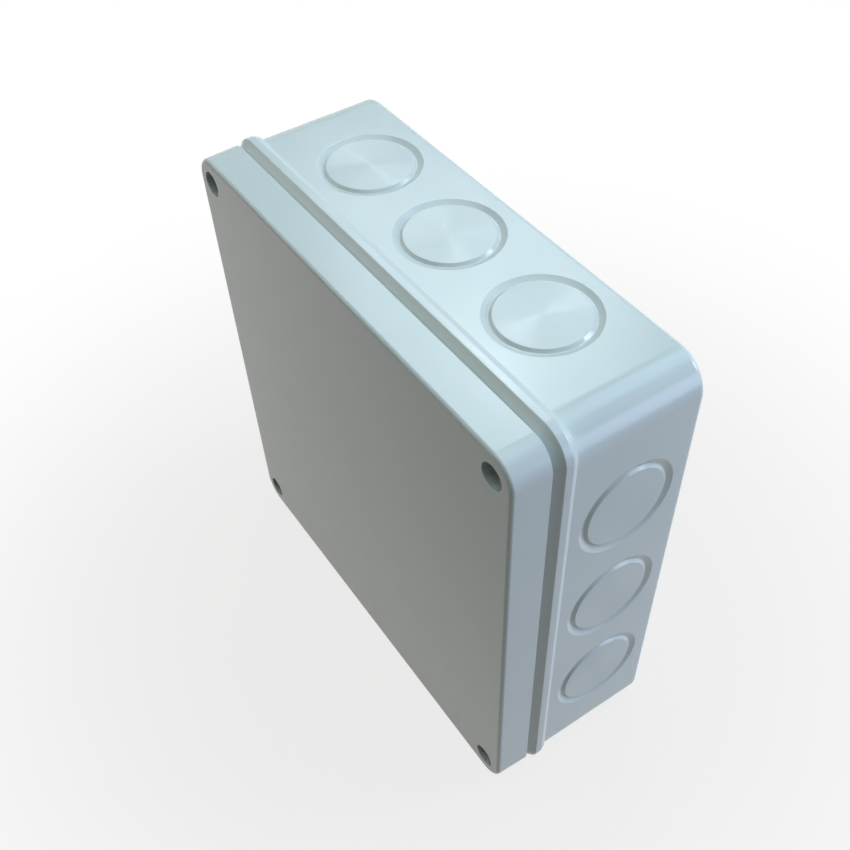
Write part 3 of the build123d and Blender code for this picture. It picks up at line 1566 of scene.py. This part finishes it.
@dataclass(frozen=True)
class Studio:
    """Camera at the photograph's angle, soft light and a pale floor."""

    position: tuple[float, float, float] = (0.24646, -0.15686, 0.42151)
    turn: tuple[float, float, float] = (39.214, 2.88, 56.983)
    lens: float = 45.138
    sensor: float = 36.0
    shift: Pair = (0.0307, 0.0881)
    near: float = 0.01
    target: tuple[float, float, float] = (0.0, 0.0, 0.1)
    floor_size: float = 6.0
    floor_colour: Colour = (0.38, 0.335, 0.265)
    fade: Pair = (0.1, 0.36)
    fade_share: float = 0.8
    world_strength: float = 0.02
    lamps: tuple[Lamp, ...] = (
        Lamp("ceiling", (0.0, 0.0, 1.0), 1.6, 1.4, 0.45, (0.73, 0.95, 1.0)),
        Lamp("back_key", (0.1, 0.65, 0.75), 1.6, 0.8, 0.24, (0.5, 0.75, 1.0)),
        Lamp("window", (-0.555, 0.43, 0.71), 1.6, 0.6, 0.17, (0.8, 0.93, 1.0)),
        Lamp("glint", (-0.525, 0.42, 0.74), 1.6, 0.12, 0.026, (0.85, 0.97, 1.0)),
        Lamp("graze", (0.4, 0.8, 0.45), 1.6, 0.5, 0.43, (0.7, 0.82, 1.0)),
        Lamp("side", (0.75, 0.62, 0.2), 1.6, 0.8, 0.34, (0.58, 0.7, 1.0)),
        Lamp("room", (-0.65, -0.5, 0.57), 2.0, 1.2, 0.11, (1.0, 0.93, 0.78)),
    )

    def camera(self) -> None:
        """Sets the camera at the photograph's place, with its framing as a small shift."""
        data = bpy.data.cameras.new("photo_view")
        data.sensor_width = self.sensor
        data.lens = self.lens
        data.shift_x, data.shift_y = self.shift
        data.clip_start = self.near
        eye = put("photo_view", data)
        eye.location = self.position
        eye.rotation_euler = Euler([math.radians(angle) for angle in self.turn], "XYZ")
        bpy.context.scene.camera = eye

    @staticmethod
    def backdrop_share(graph: Graph) -> bpy.types.NodeSocket:
        """Adds the share of rays that see the plain white background.

        Args:
            graph: The node tree.

        Returns:
            The socket that is 1 for camera, glossy and transmission rays.
        """
        rays = graph.node("LightPath").outputs
        share = rays["Is Camera Ray"]
        for name in ("Is Glossy Ray", "Is Transmission Ray"):
            share = graph.node("Math", {0: share, 1: rays[name]}, operation="MAXIMUM").outputs[0]
        return share

    def world(self) -> None:
        """Gives the surroundings a weak even light, seen as white."""
        surroundings = bpy.data.worlds.new("surroundings")
        graph = Graph(surroundings)
        light = graph.node("Background", {"Color": WHITE, "Strength": self.world_strength})
        white = graph.node("Background", {"Color": WHITE})
        share = self.backdrop_share(graph)
        mixed = graph.node("MixShader", {0: share, 1: light.outputs[0], 2: white.outputs[0]})
        graph.node("OutputWorld", {"Surface": mixed.outputs[0]})
        bpy.context.scene.world = surroundings

    def floor(self) -> None:
        """Lays the floor: pale round the box, plain white to the eye further out."""
        half = self.floor_size / 2
        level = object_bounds()[0][2]
        corners = np.array(((-half, -half), (half, -half), (half, half), (-half, half)))
        mesh = bpy.data.meshes.new("floor")
        mesh.from_pydata(lifted(corners, level), [], [(0, 1, 2, 3)])
        graph = Graph(bpy.data.materials.new("pale_floor"))
        away = graph.node("VectorMath", {0: graph.place()}, operation="LENGTH").outputs["Value"]
        limits = {"From Min": self.fade[0], "From Max": self.fade[1], "To Min": self.fade_share}
        far = graph.node("MapRange", {"Value": away, **limits}, interpolation_type="SMOOTHSTEP")
        both = {0: far.outputs["Result"], 1: self.backdrop_share(graph)}
        share = graph.node("Math", both, operation="MULTIPLY").outputs[0]
        matt = graph.node("BsdfDiffuse", {"Color": (*self.floor_colour, 1.0)})
        white = graph.node("Emission", {"Color": WHITE, "Strength": 1.0})
        mixed = graph.node("MixShader", {0: share, 1: matt.outputs[0], 2: white.outputs[0]})
        graph.node("OutputMaterial", {"Surface": mixed.outputs[0]})
        mesh.materials.append(graph.owner)
        floor = put("floor", mesh)
        floor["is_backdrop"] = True

    def set_up(self) -> None:
        """Sets up the camera, the light and the floor."""
        bpy.context.scene.view_settings.view_transform = "Standard"
        self.camera()
        self.world()
        self.floor()
        for lamp in self.lamps:
            lamp.hang(Vector(self.target))


def main() -> None:
    """Builds the box and its studio."""
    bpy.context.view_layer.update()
    datum = Datum.read()
    plan = Plan(datum.half)
    tub = BaseTub(datum, plan)
    tub.build(MouldedPlastic("base_plastic"))
    Knockouts(tub).build(TurnedPlastic("knockout_plastic"))
    Cover(datum, plan).build(MouldedPlastic("cover_plastic"))
    Gasket(datum, plan).build(Foam("gasket_foam"))
    SealRings(datum, plan).build(Rubber("seal_rubber"))
    CoverScrews(datum).build(PlatedSteel("zinc_steel"))
    Studio().set_up()


if __name__ == "__main__":
    logging.basicConfig(level=logging.INFO, format="%(name)s: %(message)s")
    main()
